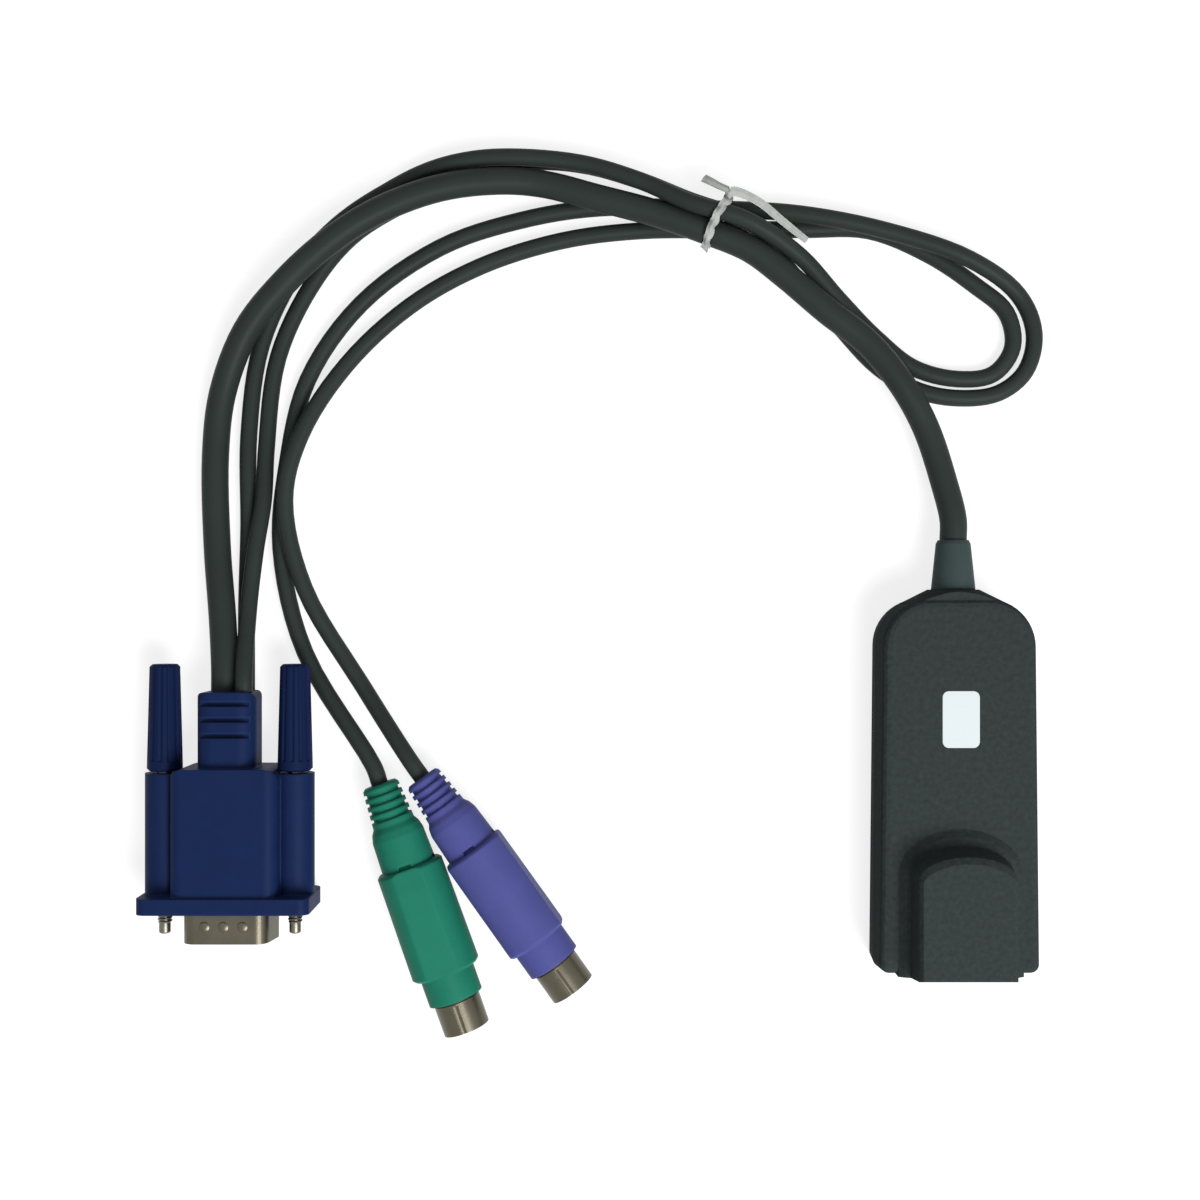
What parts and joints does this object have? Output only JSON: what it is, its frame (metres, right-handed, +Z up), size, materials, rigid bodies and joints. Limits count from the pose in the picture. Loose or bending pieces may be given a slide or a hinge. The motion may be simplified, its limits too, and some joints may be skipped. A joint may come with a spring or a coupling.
{
  "type": "kvm adapter cable",
  "caption": "Small charcoal case with a network socket on a cable that ends in a blue video plug and, on thin looped leads, a purple and a green round plug.",
  "frame": {"origin": "centre of the case's underside, on the surface that everything lies on", "axes": "+Y along the case towards its cable, +Z up, +X to the right of the case seen from above"},
  "size_m": [0.1739, 0.1715, 0.02],
  "materials": {
    "case_plastic": "fine matt",
    "badge": "satin",
    "board": "solder resist",
    "socket_plastic": "matt",
    "gold_contact": "plated",
    "chip": "matt",
    "header_plastic": "matt",
    "screw_steel": "zinc plated",
    "boot_rubber": "satin",
    "cable_jacket": "satin PVC",
    "tie_paper": "satin",
    "video_plug_plastic": "moulded PVC",
    "nickel": "bright nickel",
    "insert_plastic": "matt",
    "knob_plastic": "satin",
    "keyboard_plastic": "moulded PVC",
    "mouse_plastic": "moulded PVC"
  },
  "bodies": {
    "cable_assembly": {"module_bottom_shell": "case_plastic", "module_top_shell": "case_plastic", "blank_badge": "badge", "circuit_board": "board", "network_socket": "socket_plastic", "network_socket_contacts": "gold_contact", "board_chips": "chip", "board_cable_header": "header_plastic", "case_screws": "screw_steel", "cable_boot": "boot_rubber", "main_cable": "cable_jacket", "keyboard_lead": "cable_jacket", "mouse_lead": "cable_jacket", "twist_tie": "tie_paper", "video_plug_hood": "video_plug_plastic", "video_plug_shell": "nickel", "video_plug_insert": "insert_plastic", "video_plug_pins": "gold_contact", "keyboard_plug_body": "keyboard_plastic", "keyboard_plug_sleeve": "nickel", "keyboard_plug_insert": "insert_plastic", "keyboard_plug_pins": "nickel", "mouse_plug_body": "mouse_plastic", "mouse_plug_sleeve": "nickel", "mouse_plug_insert": "insert_plastic", "mouse_plug_pins": "nickel"},
    "left_thumbscrew": {"left_thumb_knob": "knob_plastic", "left_jack_screw": "screw_steel"},
    "right_thumbscrew": {"right_thumb_knob": "knob_plastic", "right_jack_screw": "screw_steel"}
  },
  "joints": [
    {"name": "left_thumbscrew_turn", "type": "hinge", "parent": "cable_assembly", "child": "left_thumbscrew", "pos_m": [-0.1515, 0, 0.0075], "axis": [0, -1, 0], "continuous": true},
    {"name": "right_thumbscrew_turn", "type": "hinge", "parent": "cable_assembly", "child": "right_thumbscrew", "pos_m": [-0.1265, 0, 0.0075], "axis": [0, -1, 0], "continuous": true}
  ]
}
